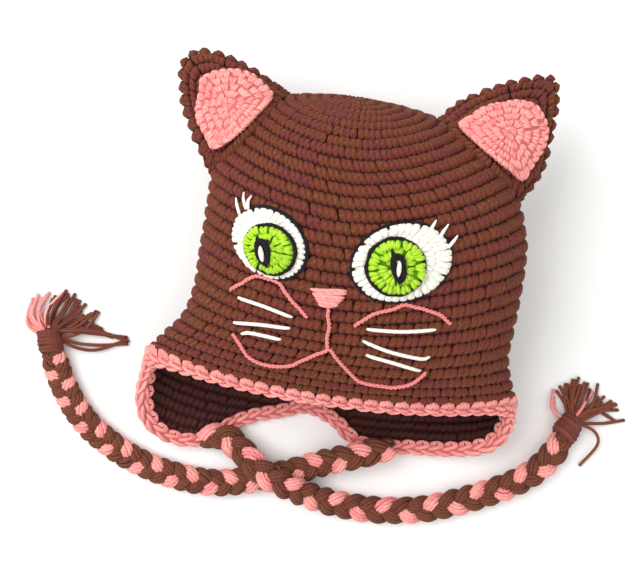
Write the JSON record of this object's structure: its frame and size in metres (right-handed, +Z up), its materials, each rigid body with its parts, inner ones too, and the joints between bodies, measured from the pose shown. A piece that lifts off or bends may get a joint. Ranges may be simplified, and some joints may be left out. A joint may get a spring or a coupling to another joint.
{
  "type": "baby hat with ears",
  "caption": "Crocheted baby hat with cat ears, a stitched cat face, earflaps with a contrast edging and braided ties that end in tassels, lying on its back.",
  "frame": {"origin": "middle of the underside of the hat without its ties and tassels, on the surface that it lies on", "axes": "+Z up, the way the face looks; +Y from the brim to the crown; +X to the right of a viewer who looks down at the face"},
  "size_m": [0.3402, 0.2434, 0.1056],
  "materials": {
    "brown_yarn": "matte crocheted cotton, single crochet, slightly marled",
    "pink_yarn": "matte crocheted cotton",
    "cream_yarn": "matte crocheted cotton",
    "green_yarn": "matte crocheted cotton",
    "black_yarn": "matte cotton yarn",
    "braid_yarn": "loose cotton yarn in brown and pink"
  },
  "bodies": {
    "root": {"hat_body": "brown_yarn", "flap_left": "brown_yarn", "flap_right": "brown_yarn", "ear_left": "brown_yarn", "ear_right": "brown_yarn", "edging": "pink_yarn", "inner_ear_left": "pink_yarn", "inner_ear_right": "pink_yarn", "nose": "pink_yarn", "eye_white_left": "cream_yarn", "iris_left": "green_yarn", "pupil_left": "black_yarn", "glint_left": "cream_yarn", "braid_left": "braid_yarn", "tassel_left": "braid_yarn", "eye_white_right": "cream_yarn", "iris_right": "green_yarn", "pupil_right": "black_yarn", "glint_right": "cream_yarn", "braid_right": "braid_yarn", "tassel_right": "braid_yarn"}
  },
  "joints": []
}
